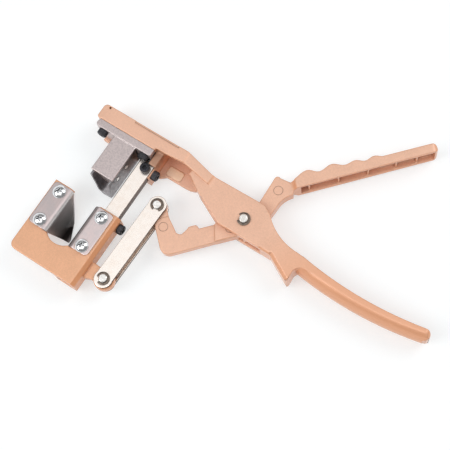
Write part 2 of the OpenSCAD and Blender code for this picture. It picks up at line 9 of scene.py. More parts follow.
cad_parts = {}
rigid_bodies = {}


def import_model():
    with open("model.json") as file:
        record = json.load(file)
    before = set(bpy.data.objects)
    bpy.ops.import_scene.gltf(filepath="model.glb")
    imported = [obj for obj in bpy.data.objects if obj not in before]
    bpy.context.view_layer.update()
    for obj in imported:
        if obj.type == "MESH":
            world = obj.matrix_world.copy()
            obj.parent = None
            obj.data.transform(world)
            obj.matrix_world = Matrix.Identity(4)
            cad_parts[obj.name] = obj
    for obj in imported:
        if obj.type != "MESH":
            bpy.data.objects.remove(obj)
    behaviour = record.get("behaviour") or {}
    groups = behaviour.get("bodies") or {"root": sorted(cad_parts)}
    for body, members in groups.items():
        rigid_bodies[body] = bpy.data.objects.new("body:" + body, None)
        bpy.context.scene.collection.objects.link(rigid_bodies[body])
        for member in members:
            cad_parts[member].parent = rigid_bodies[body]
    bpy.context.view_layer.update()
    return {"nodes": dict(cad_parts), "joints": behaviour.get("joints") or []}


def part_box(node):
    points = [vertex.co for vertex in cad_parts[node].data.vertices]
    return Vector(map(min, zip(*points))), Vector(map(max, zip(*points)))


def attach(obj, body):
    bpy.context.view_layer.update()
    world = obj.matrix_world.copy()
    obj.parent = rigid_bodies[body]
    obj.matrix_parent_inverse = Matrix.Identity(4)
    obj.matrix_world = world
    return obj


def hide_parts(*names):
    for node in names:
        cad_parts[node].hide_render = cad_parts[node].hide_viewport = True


bl_info = {
    "name": "Grafting Cutter Finish",
    "version": (1, 0, 0),
    "blender": (4, 5, 0),
    "location": "3D View > Sidebar > Cutter",
    "description": "Cast edges, fasteners, finishes and a studio stage for a V-cut grafting cutter",
    "category": "Object",
}

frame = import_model()

MM = 0.001
JOINTS = {j["name"]: j for j in frame["joints"]}
PIVOT = Vector(JOINTS["lever_hinge"]["pos_m"])
X, Y, Z = Vector((1, 0, 0)), Vector((0, 1, 0)), Vector((0, 0, 1))


def about_pivot(x, y, z):
    """A point given in millimetres from the main pivot, in the part's frame."""
    return PIVOT + Vector((x, y, z)) * MM


# The seat of the guide bar in the head, round which shade is painted into the copper paint
BAR_SEAT = about_pivot(-75, 5, 5)

# Directions in which a steel's grinding lines are drawn out
ACROSS, ALONG_BAR, ROUND_PIN, NO_WAY = (0.3, 1, 1), (1, 0.03, 1), (1, 1, 0.05), (1, 1, 1)

# Widths of the fine specks and the grinding lines on every steel
SPECK, GRIND_LINE = 0.5 * MM, 0.35 * MM

# How the copper paint shifts in red, green and blue to its deeper orange, used for painted shade on slopes,
# in corners and round the bar seat, and on the lower handle
DEEP_SHIFT = (0.95, 0.74, 0.55)

# Limits used when edges are rounded
FLAT_COSINE = 0.99999
MERGE_REACH = 0.002 * MM
ROOM_SHARE = 0.7
FILL_ERROR = 0.01
SHARP_ANGLE = math.radians(60)


def colour(label, about, value):
    return FloatVectorProperty(name=label, description=about, subtype="COLOR", size=3, min=0, max=1,
                               default=value)


def length(label, about, value):
    return FloatProperty(name=label, description=about, subtype="DISTANCE", unit="LENGTH", min=0,
                         default=value)


def power(label, about, value):
    return FloatProperty(name=label, description=about, subtype="POWER", unit="POWER", min=0, default=value)


class PaintSettings(bpy.types.PropertyGroup):
    handle: colour("Handle paint", "Copper paint of the frame and the lever", (0.85, 0.51, 0.36))
    anvil: colour("Anvil paint", "Deeper copper paint of the sliding anvil", (0.8, 0.43, 0.25))
    # The bare edge colour is partly thin paint and partly a painted highlight along edges
    bare_and_highlight: colour("Bare and highlit edge", "Pale metal where the paint thins, and painted highlight, along edges", (0.97, 0.76, 0.63))
    cloud: length("Paint clouds", "Width of the broad changes of tone", 14 * MM)
    grain: length("Paint grain", "Width of the paint's mottling", 1.1 * MM)
    flake: length("Flake", "Width of the metallic flakes", 0.28 * MM)
    edge: length("Cast edge", "Rounding of the casting edges", 0.3 * MM)
    soft: length("Soft edge", "Radius of the shading round casting edges", 1.5 * MM)
    wear_and_highlight: length("Edge wear", "Reach of the pale wear along edges", 0.7 * MM)
    corner: length("Corner shade", "Reach of the dark shade in corners", 2.5 * MM)


class SteelSettings(bpy.types.PropertyGroup):
    block: colour("Block steel", "Ground steel of the cutter block", (0.62, 0.54, 0.53))
    jaw: colour("Jaw steel", "Satin sheet of the jaw plates", (0.55, 0.465, 0.46))
    blade: colour("Blade steel", "Hardened blade sheet", (0.36, 0.35, 0.36))
    plate: colour("Nickel plate", "Warm plating of the guide bar and the links", (1.0, 0.92, 0.855))
    pin: colour("Pin steel", "Turned ends of the pins", (0.95, 0.93, 0.9))
    clip: colour("Clip steel", "Dark spring steel of the clips", (0.2, 0.16, 0.13))
    zinc: colour("Zinc plate", "Bright plating of the jaw screws", (0.78, 0.79, 0.81))
    black: colour("Black oxide", "Finish of the socket screws", (0.014, 0.014, 0.017))
    bronze: colour("Bronze", "Bush and gib pad", (0.62, 0.4, 0.18))
    edge: length("Plate edge", "Rounding of the plate and bar edges", 0.25 * MM)


class ScrewSettings(bpy.types.PropertyGroup):
    cap_r: length("Cap radius", "Radius of a socket screw's head", 3.5 * MM)
    cap_h: length("Cap height", "Height of a socket screw's head", 4 * MM)
    socket: length("Socket", "Corner radius of the hexagon socket", 1.75 * MM)
    teeth: IntProperty(name="Knurl teeth", description="Ridges round a socket screw's head", min=12, max=60,
                       default=34)
    pan_r: length("Pan radius", "Radius of a jaw screw's head", 4.9 * MM)
    pan_h: length("Pan height", "Height of a jaw screw's head", 2.8 * MM)
    cross: length("Cross width", "Width of a wing of the cross recess", 1.15 * MM)
    clip_r: length("Clip radius", "Outer radius of a retaining clip", 4.65 * MM)
    mark_r: length("Mark radius", "Radius of an ejector mark on the lever", 3.4 * MM)


class StageSettings(bpy.types.PropertyGroup):
    floor: colour("Floor", "Colour of the floor", (0.9, 0.9, 0.905))
    room: FloatProperty(name="Room light", description="Strength of the even light", min=0, default=0.44)
    key: power("Key light", "Power of the soft light beyond the handles", 5.6)
    fill: power("Fill light", "Power of the soft light beyond the anvil", 6.6)
    front: power("Front light", "Power of the light near the camera", 4)
    seen: colour("Seen floor", "Colour of the floor as the camera sees it", (0.54, 0.565, 0.575))
    glow: FloatProperty(name="Floor glow", description="Glow of the floor as the camera sees it", min=0,
                        default=0.5)


class Sheet:
    """A material's node tree, with short calls to add and join nodes."""

    def __init__(self, name):
        self.material = bpy.data.materials.new(name)
        self.material.use_nodes = True
        self.tree = self.material.node_tree
        self.shader = self.tree.nodes["Principled BSDF"]
        self.place = self.tree.nodes.new("ShaderNodeTexCoord").outputs["Object"]

    def add(self, kind, out=0, **inputs):
        node = self.tree.nodes.new("ShaderNode" + kind)
        for label, value in inputs.items():
            self.put(node.inputs[label.replace("_", " ")], value)
        return node.outputs[out]

    def put(self, socket, value):
        if isinstance(value, bpy.types.NodeSocket):
            self.tree.links.new(value, socket)
        else:
            socket.default_value = value

    def math(self, kind, a, b=0.0, c=0.0):
        node = self.tree.nodes.new("ShaderNodeMath")
        node.operation = kind
        for socket, value in zip(node.inputs, (a, b, c)):
            self.put(socket, value)
        return node.outputs[0]

    def noise(self, size, detail=2.0, stretch=(1, 1, 1), rough=0.5):
        place = self.add("Mapping", Vector=self.place, Scale=stretch)
        return self.add("TexNoise", Vector=place, Scale=1 / size, Detail=detail, Roughness=rough)

    def span(self, value, low, high, to_low=0.0, to_high=1.0):
        """A value's run from low to high, drawn over another run and held at its ends."""
        return self.add("MapRange", Value=value, From_Min=low, From_Max=high, To_Min=to_low, To_Max=to_high)

    def blend(self, factor, a, b):
        node = self.tree.nodes.new("ShaderNodeMix")
        node.data_type = "RGBA"
        self.put(node.inputs[0], factor)
        for socket, value in ((node.inputs[6], a), (node.inputs[7], b)):
            self.put(socket, value if isinstance(value, bpy.types.NodeSocket) else (*value, 1))
        return node.outputs[2]

    def softened(self, radius):
        """The surface's normal with its edges rounded off."""
        rounded = self.tree.nodes.new("ShaderNodeBevel")
        rounded.samples = 8
        rounded.inputs["Radius"].default_value = radius
        return rounded.outputs[0]

    def edges(self, radius):
        """One along sharp edges, nought on flat faces."""
        flat = self.tree.nodes.new("ShaderNodeNewGeometry").outputs["Normal"]
        dot = self.tree.nodes.new("ShaderNodeVectorMath")
        dot.operation = "DOT_PRODUCT"
        self.put(dot.inputs[0], self.softened(radius))
        self.put(dot.inputs[1], flat)
        return self.span(dot.outputs["Value"], 0.99, 0.8)

    def crevice(self, reach):
        """One in the open, falling to nought in corners and between pieces."""
        node = self.tree.nodes.new("ShaderNodeAmbientOcclusion")
        node.samples = 6
        node.inputs["Distance"].default_value = reach
        return node.outputs["AO"]

    def normal(self, axis):
        """One component of the surface's normal."""
        surface = self.tree.nodes.new("ShaderNodeNewGeometry")
        return self.add("SeparateXYZ", axis, Vector=surface.outputs["Normal"])

    def facing(self):
        """How far a face looks along the pivot axis, either way."""
        return self.math("ABSOLUTE", self.normal(2))

    def from_pivot(self, axis):
        """How far a point lies from the main pivot along one axis."""
        return self.math("SUBTRACT", self.add("SeparateXYZ", axis, Vector=self.place), PIVOT[axis])

    def distance(self, point):
        """How far the surface lies from a point."""
        node = self.tree.nodes.new("ShaderNodeVectorMath")
        node.operation = "DISTANCE"
        self.put(node.inputs[0], self.place)
        node.inputs[1].default_value = point
        return node.outputs["Value"]

    def bump(self, height, depth, strength, edge):
        """Fine relief on the shader, over edges rounded off by a radius."""
        smooth = self.softened(edge)
        relief = self.add("Bump", Height=height, Distance=depth, Strength=strength, Normal=smooth)
        self.put(self.shader.inputs["Normal"], relief)

    def set(self, **inputs):
        """Values or sockets for the shader's own inputs."""
        for label, value in inputs.items():
            self.put(self.shader.inputs[label.replace("_", " ")], value)


def times(rgb, factor):
    """A colour made lighter or darker, held at full."""
    return tuple(min(1.0, c * factor) for c in rgb)


def copper_paint(name, rgb, paint):
    """Flaked paint, with painted shade on slopes, in corners and round the bar seat, deeper orange towards
    the lower handle, and pale edges that are part wear and part painted highlight.
    """
    s = Sheet(name)
    deep = tuple(c * shift for c, shift in zip(rgb, DEEP_SHIFT))
    cloud = s.noise(paint.cloud, 2)
    grain = s.noise(paint.grain, 3, rough=0.65)
    cloud_share = 0.35
    tone = s.math("ADD", s.math("MULTIPLY", cloud, cloud_share), s.math("MULTIPLY", grain, 1 - cloud_share))
    base = s.blend(s.span(tone, 0.34, 0.66), times(rgb, 0.89), times(rgb, 1.06))

    flake = s.add("TexVoronoi", "Color", Vector=s.place, Scale=1 / paint.flake)
    spark = s.span(s.add("SeparateColor", 0, Color=flake), 0.72, 1.0, 0.0, 0.28)
    base = s.blend(spark, base, times(rgb, 1.3))

    # Deeper orange towards the lower handle
    lower_handle = s.math("MULTIPLY_ADD", s.from_pivot(1), -0.7, s.from_pivot(0))
    base = s.blend(s.span(lower_handle, 20 * MM, 70 * MM, 0.1, 0.75), base, deep)
    # Painted shade: slopes, read off the softened normal, turn deeper orange
    slope = s.math("ABSOLUTE", s.add("SeparateXYZ", 2, Vector=s.softened(paint.soft)))
    base = s.blend(s.span(slope, 0.99, 0.8, 0.0, 0.9), base, deep)

    # Pale edges: partly real wear where the paint thins, partly a painted highlight
    patchy = s.span(s.noise(2 * paint.grain, 3), 0.35, 0.65, 0.15, 0.6)
    base = s.blend(s.math("MULTIPLY", s.edges(paint.wear_and_highlight), patchy), base, paint.bare_and_highlight)
    # Painted shade in corners and between pieces
    base = s.blend(s.span(s.crevice(paint.corner), 0.65, 0.2, 0.0, 0.55), base, times(deep, 0.35))
    # Painted shade round the guide bar's seat, under the head
    base = s.blend(s.span(s.distance(BAR_SEAT), 4 * MM, 10 * MM, 0.8, 0.0), base, times(deep, 0.4))

    seam = s.span(s.math("ABSOLUTE", s.from_pivot(2)), 0.12 * MM, 0.3 * MM, 0.8, 0.0)
    s.set(Base_Color=base, Metallic=0.2, Roughness=s.span(grain, 0.3, 0.7, 0.32, 0.44))
    s.set(Specular_IOR_Level=0.6, Coat_Weight=0.6, Coat_Roughness=0.16)
    s.bump(s.math("ADD", grain, seam), depth=0.06 * MM, strength=0.6, edge=paint.soft)
    return s.material


def ground_steel(name, rgb, stain, grain, rough=(0.28, 0.45), stain_size=2.6 * MM, depth=0.02 * MM,
                 lines=0.35, corner=1.5 * MM, edge=None, rim=0.35 * MM, painted_side_shade=None, shade=None):
    """Metal with stains, and grinding lines drawn out along the small axis of grain.

    edge is a painted highlight colour along edges, the side colour is painted shade on the narrow sides, and
    shade is painted shade down bent-down wings, with a painted highlight on the bend.
    """
    s = Sheet(name)
    rgb = tuple(rgb)
    patch = s.noise(stain_size, 5, rough=0.62)
    speck = s.noise(SPECK, 3)
    line = s.noise(GRIND_LINE, 3, grain)
    base = s.blend(s.span(patch, 0.42, 0.62), rgb, stain)
    base = s.blend(s.span(line, 0.3, 0.7, 0.0, lines), base, times(rgb, 1.25))
    base = s.blend(s.span(speck, 0.6, 0.75, 0.0, lines), base, times(rgb, 0.6))
    # Painted shade on the narrow sides, keyed to the normal
    if painted_side_shade:
        base = s.blend(s.span(s.facing(), 0.8, 0.5), base, painted_side_shade)
    # Painted highlight along the sharp edges
    if edge:
        base = s.blend(s.math("MULTIPLY", s.edges(rim), 0.7), base, edge)
    if shade:
        # Painted highlight on the bend, then painted shade by the normal and down the wing
        bend_highlight = (0.95, 0.92, 0.91)
        base = s.blend(s.span(s.normal(0), 0.35, 0.8), base, bend_highlight)
        base = s.blend(s.span(s.normal(0), -0.1, -0.7, 0.0, 0.9), base, shade)
        base = s.blend(s.span(s.from_pivot(2), 3 * MM, -7 * MM, 0.0, 0.93), base, shade)
    # Painted shade in corners and between pieces
    base = s.blend(s.span(s.crevice(corner), 0.7, 0.2, 0.0, 0.75), base, times(rgb, 0.12))
    s.set(Base_Color=base, Metallic=1.0, Roughness=s.span(s.math("ADD", line, patch), 0.7, 1.3, *rough))
    s.bump(line, depth, strength=0.7, edge=0.45 * MM)
    return s.material


def black_oxide(name, rgb):
    """Patchy black finish, a little worn pale along its edges."""
    s = Sheet(name)
    patch = s.noise(0.8 * MM, 3)
    base = s.blend(s.span(patch, 0.35, 0.7), rgb, times(rgb, 4))
    base = s.blend(s.math("MULTIPLY", s.edges(0.25 * MM), 0.5), base, (0.2, 0.2, 0.21))
    s.set(Base_Color=base, Metallic=0.6, Roughness=s.span(patch, 0.3, 0.7, 0.3, 0.5))
    s.bump(patch, depth=0.02 * MM, strength=0.6, edge=0.3 * MM)
    return s.material


def make_finish(name):
    """One finish, made from the settings."""
    paint, steel = bpy.context.scene.cutter_paint, bpy.context.scene.cutter_steel
    coppers = {
        "handle_paint": paint.handle,
        # A lighter copy of the handle paint for the pocket pad, as painted light
        "pad_paint": times(paint.handle, 1.35),
        # A darker copy of the handle paint, for the ejector rings and for the painted shade line at the
        # ledge
        "mark_paint": times(paint.handle, 0.55),
        "anvil_paint": paint.anvil,
    }
    satin = {"grain": ALONG_BAR, "rough": (0.3, 0.42), "stain_size": 6 * MM, "shade": (0.06, 0.05, 0.05)}
    steels = {
        "block_steel": dict(rgb=steel.block, stain=(0.47, 0.41, 0.41), grain=ACROSS, rough=(0.4, 0.55),
                            stain_size=1.1 * MM, edge=(0.95, 0.93, 0.92), rim=0.8 * MM),
        "jaw_steel": dict(rgb=steel.jaw, stain=(0.5, 0.45, 0.45), edge=(0.85, 0.82, 0.8), **satin),
        # A lighter copy of the jaw steel for the right plate, as painted light
        "bright_jaw": dict(rgb=times(steel.jaw, 1.25), stain=(0.62, 0.55, 0.55), edge=(0.9, 0.87, 0.85),
                           **satin),
        "blade_steel": dict(rgb=steel.blade, stain=(0.22, 0.21, 0.22), grain=(0.2, 1, 1), rough=(0.3, 0.45),
                            edge=(0.8, 0.8, 0.8)),
        # The plated bar and links get painted shade on their narrow sides
        "nickel_plate": dict(rgb=steel.plate, stain=(0.97, 0.87, 0.79), grain=ALONG_BAR, rough=(0.25, 0.27),
                             stain_size=5 * MM, depth=0.0002 * MM, lines=0.1, corner=7 * MM,
                             painted_side_shade=(0.1, 0.062, 0.048)),
        "pin_steel": dict(rgb=steel.pin, stain=(0.7, 0.67, 0.62), grain=ROUND_PIN, rough=(0.18, 0.3),
                          stain_size=3 * MM, depth=0.01 * MM),
        "clip_steel": dict(rgb=steel.clip, stain=(0.1, 0.08, 0.07), grain=NO_WAY, rough=(0.3, 0.45),
                           stain_size=1.2 * MM, edge=(0.4, 0.35, 0.3)),
        "zinc_plate": dict(rgb=steel.zinc, stain=(0.66, 0.67, 0.68), grain=NO_WAY, rough=(0.06, 0.14),
                           stain_size=2 * MM, depth=0.006 * MM),
        "bearing_bronze": dict(rgb=steel.bronze, stain=(0.45, 0.27, 0.12), grain=ROUND_PIN,
                               rough=(0.3, 0.45)),
    }
    if name in coppers:
        return copper_paint(name, tuple(coppers[name]), paint)
    if name in steels:
        return ground_steel(name, **steels[name])
    return black_oxide(name, tuple(steel.black))


class Finishes:
    """Materials made once, then shared by the operators."""

    made = {}

    @classmethod
    def get(cls, name):
        if name not in cls.made:
            cls.made[name] = make_finish(name)
        return cls.made[name]


def linked(name, data):
    """A new object in the scene, from a mesh, a lamp or a camera."""
    obj = bpy.data.objects.new(name, data)
    bpy.context.scene.collection.objects.link(obj)
    return obj


def plain_mesh(obj, name):
    """The object with its modifiers, as one plain mesh."""
    graph = bpy.context.evaluated_depsgraph_get()
    mesh = bpy.data.meshes.new_from_object(obj.evaluated_get(graph))
    mesh.name = name
    return mesh


def finished(obj, body, slot, finish, *nodes):
    """Gives a piece its finish, and lets it ride on its body in place of its CAD nodes."""
    obj.data.materials.clear()
    obj.data.materials.append(Finishes.get(finish))
    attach(obj, body)
    if nodes:
        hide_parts(*nodes)


def flat_areas(bm):
    """Numbers the flat areas of a mesh, and gives the normal of each."""
    layer = bm.faces.layers.int.new("area")
    normals = []
    for face in bm.faces:
        face[layer] = -1
    for seed in bm.faces:
        if seed[layer] >= 0:
            continue
        seed[layer] = len(normals)
        front = [seed]
        while front:
            for edge in front.pop().edges:
                for face in edge.link_faces:
                    if face[layer] < 0 and face.normal.dot(seed.normal) > FLAT_COSINE:
                        face[layer] = len(normals)
                        front.append(face)
        normals.append(seed.normal.copy())
    return normals


def weigh_edges(bm, width, angle):
    """Marks the outer edges for rounding, less where a flat area beside them is narrow."""
    weight = bm.edges.layers.float.new("bevel_weight_edge")
    layer = bm.faces.layers.int["area"]
    limit = math.radians(angle)
    outer = [e for e in bm.edges if len(e.link_faces) == 2 and e.calc_face_angle_signed() > limit]
    size, rim = {}, {}
    for face in bm.faces:
        size[face[layer]] = size.get(face[layer], 0) + face.calc_area()
    for edge in outer:
        for face in edge.link_faces:
            rim[face[layer]] = rim.get(face[layer], 0) + edge.calc_length()
    for edge in outer:
        room = min(size[f[layer]] / rim[f[layer]] for f in edge.link_faces)
        edge[weight] = min(1, ROOM_SHARE * room / width)


def rim_fill(rim, normal):
    """Triangles between the corners of a flat rim, and their total size."""
    bm = bmesh.new()
    twin = {}
    for edge in rim:
        for corner in edge.verts:
            if corner not in twin:
                twin[corner] = bm.verts.new(corner.co)
    source = {t: v for v, t in twin.items()}
    edges = [bm.edges.new([twin[v] for v in e.verts]) for e in rim]
    bmesh.ops.triangle_fill(bm, use_beauty=True, edges=edges, normal=normal)
    triangles = [[source[v] for v in f.verts] for f in bm.faces]
    size = sum(f.calc_area() for f in bm.faces)
    bm.free()
    return triangles, size


def mend(bm):
    """Takes stray faces off crowded edges, and closes the small gaps that are left."""
    crowded = [e for e in bm.edges if len(e.link_faces) > 2]
    loose = lambda face: any(side.is_boundary for side in face.edges)
    stray = dict.fromkeys(f for e in crowded for f in e.link_faces if loose(f))
    bmesh.ops.delete(bm, geom=list(stray), context="FACES")
    bmesh.ops.holes_fill(bm, edges=[e for e in bm.edges if e.is_boundary], sides=0)


def refill(mesh, normals):
    """Fills each flat area anew inside its moved rim, where the fill has the right size."""
    bm = bmesh.new()
    bm.from_mesh(mesh)
    layer = bm.faces.layers.int["area"]
    areas = {}
    for face in bm.faces:
        if face.material_index == 0:
            areas.setdefault(face[layer], []).append(face)
    for number, faces in areas.items():
        normal, inside = normals[number], set(faces)
        if len(faces) == 1 and faces[0].normal.dot(normal) > 0:
            continue
        sides = dict.fromkeys(e for f in faces for e in f.edges)
        rim = [e for e in sides if sum(f in inside for f in e.link_faces) == 1]
        size = sum(math.copysign(f.calc_area(), f.normal.dot(normal)) for f in faces)
        triangles, filled = rim_fill(rim, normal)
        if abs(filled - size) < FILL_ERROR * size:
            bmesh.ops.delete(bm, geom=faces, context="FACES_ONLY")
            faces = [bm.faces.new(t) for t in triangles]
            for face in faces:
                face.normal_update()
        bmesh.ops.reverse_faces(bm, faces=[f for f in faces if f.normal.dot(normal) < 0])
    bmesh.ops.delete(bm, geom=[e for e in bm.edges if not e.link_faces], context="EDGES")
    bmesh.ops.delete(bm, geom=[v for v in bm.verts if not v.link_faces], context="VERTS")
    mend(bm)
    bmesh.ops.triangulate(bm, faces=bm.faces)
    bmesh.ops.recalc_face_normals(bm, faces=bm.faces)
    for face in bm.faces:
        face.material_index = 0
    bm.to_mesh(mesh)
    bm.free()


def rounded_copy(node, name, width, segments=3, angle=35):
    """A merged copy of a CAD node with rounded edges."""
    mesh = frame["nodes"][node].data.copy()
    mesh.name = name
    for extra in ("custom_normal", "sharp_edge", "sharp_face"):
        if extra in mesh.attributes:
            mesh.attributes.remove(mesh.attributes[extra])
    mesh.materials.append(mesh.materials[0])
    bm = bmesh.new()
    bm.from_mesh(mesh)
    bmesh.ops.remove_doubles(bm, verts=bm.verts, dist=MERGE_REACH)
    normals = flat_areas(bm)
    weigh_edges(bm, width, angle)
    bm.to_mesh(mesh)
    bm.free()
    obj = linked(name, mesh)
    bevel = obj.modifiers.new("Edges", "BEVEL")
    bevel.width = width
    bevel.segments = segments
    bevel.limit_method = "WEIGHT"
    bevel.use_clamp_overlap = False
    bevel.loop_slide = False
    bevel.material = 1
    obj.data = plain_mesh(obj, name)
    obj.modifiers.clear()
    refill(obj.data, normals)
    obj.data.shade_smooth()
    obj.data.set_sharp_from_angle(angle=SHARP_ANGLE)
    weigh = obj.modifiers.new("Normals", "WEIGHTED_NORMAL")
    weigh.weight = 90
    weigh.keep_sharp = True
    obj.data = plain_mesh(obj, name)
    obj.modifiers.clear()
    return obj


def closed(name, bm):
    """An object from a closed mesh, with its faces turned outward."""
    bmesh.ops.recalc_face_normals(bm, faces=bm.faces)
    mesh = bpy.data.meshes.new(name)
    bm.to_mesh(mesh)
    bm.free()
    return linked(name, mesh)


def spun(name, profile, steps=64):
    """A closed mesh from (radius, height) points turned about Z, the first and last on the axis."""
    bm = bmesh.new()
    ends = [bm.verts.new((0, 0, profile[0][1])), bm.verts.new((0, 0, profile[-1][1]))]
    rings = []
    angles = [2 * math.pi * i / steps for i in range(steps)]
    for r, h in profile[1:-1]:
        rings.append([bm.verts.new((r * math.cos(a), r * math.sin(a), h)) for a in angles])
    for low, high in zip(rings, rings[1:]):
        for i in range(steps):
            j = (i + 1) % steps
            bm.faces.new((low[i], low[j], high[j], high[i]))
    for i in range(steps):
        j = (i + 1) % steps
        bm.faces.new((ends[0], rings[0][j], rings[0][i]))
        bm.faces.new((ends[1], rings[-1][i], rings[-1][j]))
    return closed(name, bm)


def prism(name, points, low, high, grow=1.0):
    """A straight or tapered prism on an outline, from one height to another."""
    bm = bmesh.new()
    bottom = [bm.verts.new((x, y, low)) for x, y in points]
    top = [bm.verts.new((x * grow, y * grow, high)) for x, y in points]
    bm.faces.new(list(reversed(bottom)))
    bm.faces.new(top)
    for i in range(len(points)):
        j = (i + 1) % len(points)
        bm.faces.new((bottom[i], bottom[j], top[j], top[i]))
    return closed(name, bm)


def carve(obj, cutter):
    """Cuts one object out of another and removes the cutter."""
    cut = obj.modifiers.new("Cut", "BOOLEAN")
    cut.operation = "DIFFERENCE"
    cut.solver = "EXACT"
    cut.object = cutter
    obj.data = plain_mesh(obj, obj.name)
    obj.modifiers.clear()
    bpy.data.objects.remove(cutter)


def joined(obj, other):
    """Adds another object's mesh to an object and removes the other."""
    bm = bmesh.new()
    bm.from_mesh(obj.data)
    bm.from_mesh(other.data)
    bm.to_mesh(obj.data)
    bm.free()
    bpy.data.objects.remove(other)


class Tree:
    """A geometry node tree with named inputs."""

    def __init__(self, name, inputs):
        self.tree = bpy.data.node_groups.new(name, "GeometryNodeTree")
        self.ids = {}
        for label, kind, value in inputs:
            socket = self.tree.interface.new_socket(label, in_out="INPUT", socket_type="NodeSocket" + kind)
            if value is not None:
                socket.default_value = value
            self.ids[label] = socket.identifier
        self.tree.interface.new_socket("Geometry", in_out="OUTPUT", socket_type="NodeSocketGeometry")
        self.inputs = self.tree.nodes.new("NodeGroupInput").outputs

    def add(self, kind, out=0, **inputs):
        node = self.tree.nodes.new(kind)
        for label, value in inputs.items():
            socket = node.inputs[label.replace("_", " ")]
            if isinstance(value, bpy.types.NodeSocket):
                self.tree.links.new(value, socket)
            else:
                socket.default_value = value
        return node.outputs[out]

    def end(self, geometry):
        solid = self.add("GeometryNodeRealizeInstances", Geometry=geometry)
        done = self.add("GeometryNodeSetMaterial", Geometry=solid, Material=self.inputs["Finish"])
        self.tree.links.new(done, self.tree.nodes.new("NodeGroupOutput").inputs[0])

    def run(self, obj, **values):
        """Runs the tree on an object and leaves a plain mesh there."""
        modifier = obj.modifiers.new("Nodes", "NODES")
        modifier.node_group = self.tree
        for label, value in values.items():
            modifier[self.ids[label]] = value
        obj.data = plain_mesh(obj, obj.name)
        obj.modifiers.clear()
        return obj


def repeat_tree():
    """Sets a shape on every point, turned as the point's own attribute says."""
    t = Tree("Repeat on places", [
        ("Places", "Geometry", None), ("Shape", "Object", None), ("Size", "Float", 1.0),
        ("Finish", "Material", None)])
    shape = t.add("GeometryNodeObjectInfo", "Geometry", Object=t.inputs["Shape"])
    named = t.tree.nodes.new("GeometryNodeInputNamedAttribute")
    named.data_type = "FLOAT_VECTOR"
    named.inputs["Name"].default_value = "turn"
    turn = t.add("FunctionNodeEulerToRotation", Euler=named.outputs["Attribute"])
    size = t.add("ShaderNodeCombineXYZ", X=t.inputs["Size"], Y=t.inputs["Size"], Z=t.inputs["Size"])
    places = t.inputs["Places"]
    t.end(t.add("GeometryNodeInstanceOnPoints", Points=places, Instance=shape, Rotation=turn, Scale=size))
    return t


def knurl_tree():
    """Sets upright ridges round a circle."""
    t = Tree("Knurl", [
        ("Places", "Geometry", None), ("Teeth", "Int", 30), ("Radius", "Float", 1.0),
        ("Height", "Float", 1.0), ("Ridge", "Float", 0.1), ("Finish", "Material", None)])
    teeth, radius = t.inputs["Teeth"], t.inputs["Radius"]
    ring = t.add("GeometryNodeCurvePrimitiveCircle", "Curve", Resolution=teeth, Radius=radius)
    points = t.add("GeometryNodeCurveToPoints", "Points", Curve=ring, Count=teeth)
    points.node.mode = "EVALUATED"
    size = t.add("ShaderNodeCombineXYZ", X=t.inputs["Ridge"], Y=t.inputs["Ridge"], Z=t.inputs["Height"])
    ridge = t.add("GeometryNodeMeshCube", "Mesh", Size=size)
    index = t.add("GeometryNodeInputIndex")
    angle = t.tree.nodes.new("ShaderNodeMath")
    angle.operation = "DIVIDE"
    t.tree.links.new(index, angle.inputs[0])
    t.tree.links.new(teeth, angle.inputs[1])
    spin = t.tree.nodes.new("ShaderNodeMath")
    spin.operation = "MULTIPLY_ADD"
    t.tree.links.new(angle.outputs[0], spin.inputs[0])
    full_turn, edge_outward = 2 * math.pi, math.pi / 4
    spin.inputs[1].default_value = full_turn
    spin.inputs[2].default_value = edge_outward
    euler = t.add("ShaderNodeCombineXYZ", Z=spin.outputs[0])
    turn = t.add("FunctionNodeEulerToRotation", Euler=euler)
    t.end(t.add("GeometryNodeInstanceOnPoints", Points=points, Instance=ridge, Rotation=turn))
    return t


def repeated(name, shape, places, finish, crease=35):
    """Copies of a shape, each with its Z along a given way and spun about it."""
    mesh = bpy.data.meshes.new(name)
    mesh.from_pydata([tuple(p) for p, way, spin in places], [], [])
    turn = mesh.attributes.new("turn", "FLOAT_VECTOR", "POINT")
    for i, (p, way, spin) in enumerate(places):
        upside_down = way.dot(Z) <= -0.999
        lean = Matrix.Rotation(math.pi, 3, "X") if upside_down else Z.rotation_difference(way).to_matrix()
        turn.data[i].vector = (lean @ Matrix.Rotation(math.radians(spin), 3, "Z")).to_euler()
    obj = repeat_tree().run(linked(name, mesh), Shape=shape, Size=1.0, Finish=Finishes.get(finish))
    obj.data.shade_smooth()
    obj.data.set_sharp_from_angle(angle=math.radians(crease))
    return obj


def centre(node):
    low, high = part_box(node)
    return (low + high) / 2


def dressed(node, finish):
    """A finish for a CAD node whose shape stays as it is."""
    node = frame["nodes"][node]
    node.data.materials.clear()
    node.data.materials.append(Finishes.get(finish))


class CUTTER_OT_castings(bpy.types.Operator):
    """Round the edges of the painted castings"""

    bl_idname = "cutter.castings"
    bl_label = "Castings"

    def execute(self, context):
        edge = context.scene.cutter_paint.edge
        fine_crease, crease = 21, 35
        for node, body, finish, angle in (
                ("frame_casting", "frame", "handle_paint", fine_crease),
                ("lever_casting", "lever", "handle_paint", crease),
                ("anvil_bracket", "anvil", "anvil_paint", crease)):
            casting = rounded_copy(node, node + "_painted", edge, angle=angle)
            finished(casting, body, "painted_casting", finish, node)
        return {"FINISHED"}


